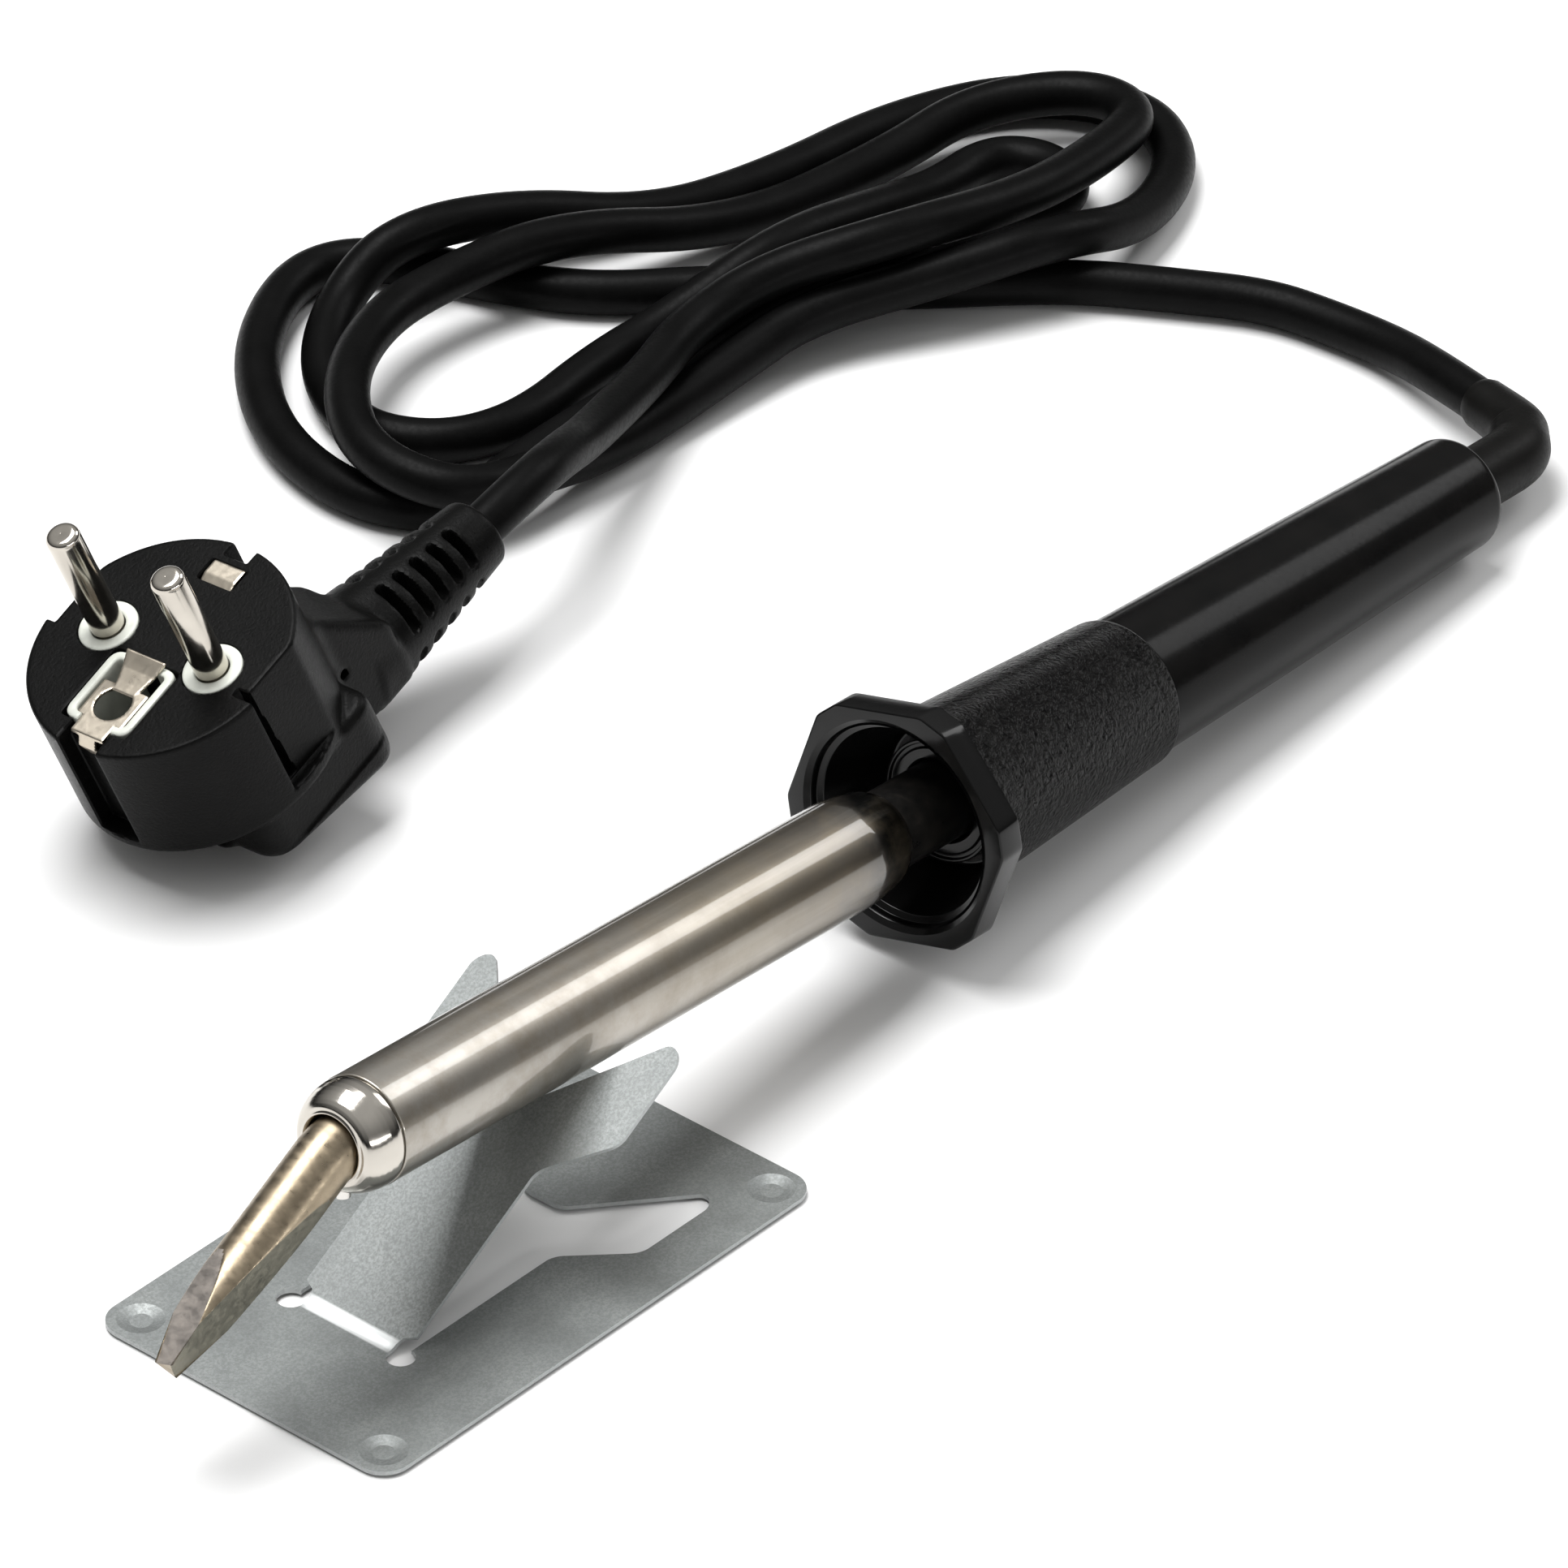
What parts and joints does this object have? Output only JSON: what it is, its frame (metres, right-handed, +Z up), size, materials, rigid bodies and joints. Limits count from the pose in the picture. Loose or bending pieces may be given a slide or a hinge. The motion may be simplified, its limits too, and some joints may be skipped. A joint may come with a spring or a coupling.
{
  "type": "soldering iron with folded sheet stand",
  "caption": "Mains soldering iron with a bent chisel bit resting on a folded sheet-metal bench stand, with its black rubber lead in loose loops and an angled earthed plug.",
  "frame": {"origin": "on the bench, below the middle of the stand and iron together", "axes": "+Z up from the bench; +X along the stand from the bit towards the handle, which is its longest extent; +Y towards the side where the lead and plug lie"},
  "size_m": [0.3302, 0.2007, 0.0503],
  "materials": {
    "galvanised": "zinc-coated sheet, dull cool grey with light mottling and bright cut edges",
    "barrel": "satin steel tube, heat-tinted towards the handle",
    "neck": "steel darkened by heat",
    "collar": "polished nickel plate",
    "tip": "plated copper, warm silver, ground darker on its facets",
    "screws": "bright nickel plate",
    "ceramic": "unglazed white ceramic",
    "winding": "oxidised resistance wire",
    "mica": "pale brown mica sheet",
    "grip": "black heat-proof plastic with a fine leather grain",
    "handle": "smooth glossy black plastic",
    "insert": "pale grey hard plastic",
    "sleeves": "plain brass",
    "wire_live": "brown PVC",
    "wire_neutral": "blue PVC",
    "wire_earth": "green and yellow PVC",
    "lead": "matt black rubber sheath",
    "sleeve": "soft black rubber",
    "plug": "fine-grained black moulding",
    "pins": "polished nickel plate",
    "contact": "satin nickel-plated strip"
  },
  "bodies": {
    "stand": {"stand_sheet": "galvanised", "power_lead": "lead", "plug_body": "plug", "plug_insert": "insert", "plug_pins": "pins", "earth_contact": "contact"},
    "iron": {"barrel_tube": "barrel", "neck_tube": "neck", "heater_former": "ceramic", "heater_winding": "winding", "mica_wrap": "mica", "rear_bush": "ceramic", "front_grip": "grip", "rear_handle": "handle", "neck_washer": "neck", "neck_screws": "screws", "terminal_block": "insert", "terminal_sleeves": "sleeves", "terminal_screws": "screws", "heater_leads": "winding", "earth_link": "wire_earth", "live_core": "wire_live", "neutral_core": "wire_neutral", "earth_core": "wire_earth", "lead_stop": "sleeve", "lead_tail": "lead", "lead_sleeve": "sleeve"},
    "collar": {"tip_collar": "collar", "tip_screw": "screws"},
    "tip": {"soldering_tip": "tip"}
  },
  "joints": [
    {"name": "iron_lift", "type": "slide", "parent": "stand", "child": "iron", "axis": [0, 0, 1], "range_m": [0, 0.06]},
    {"name": "collar_turn", "type": "hinge", "parent": "iron", "child": "collar", "pos_m": [-0.11124, -0.00194, 0.03208], "axis": [0.9931, 0.0434, -0.1089], "range_deg": [-90, 90]},
    {"name": "tip_slide", "type": "slide", "parent": "collar", "child": "tip", "axis": [-0.9931, -0.0434, 0.1089], "range_m": [0, 0.045]}
  ]
}
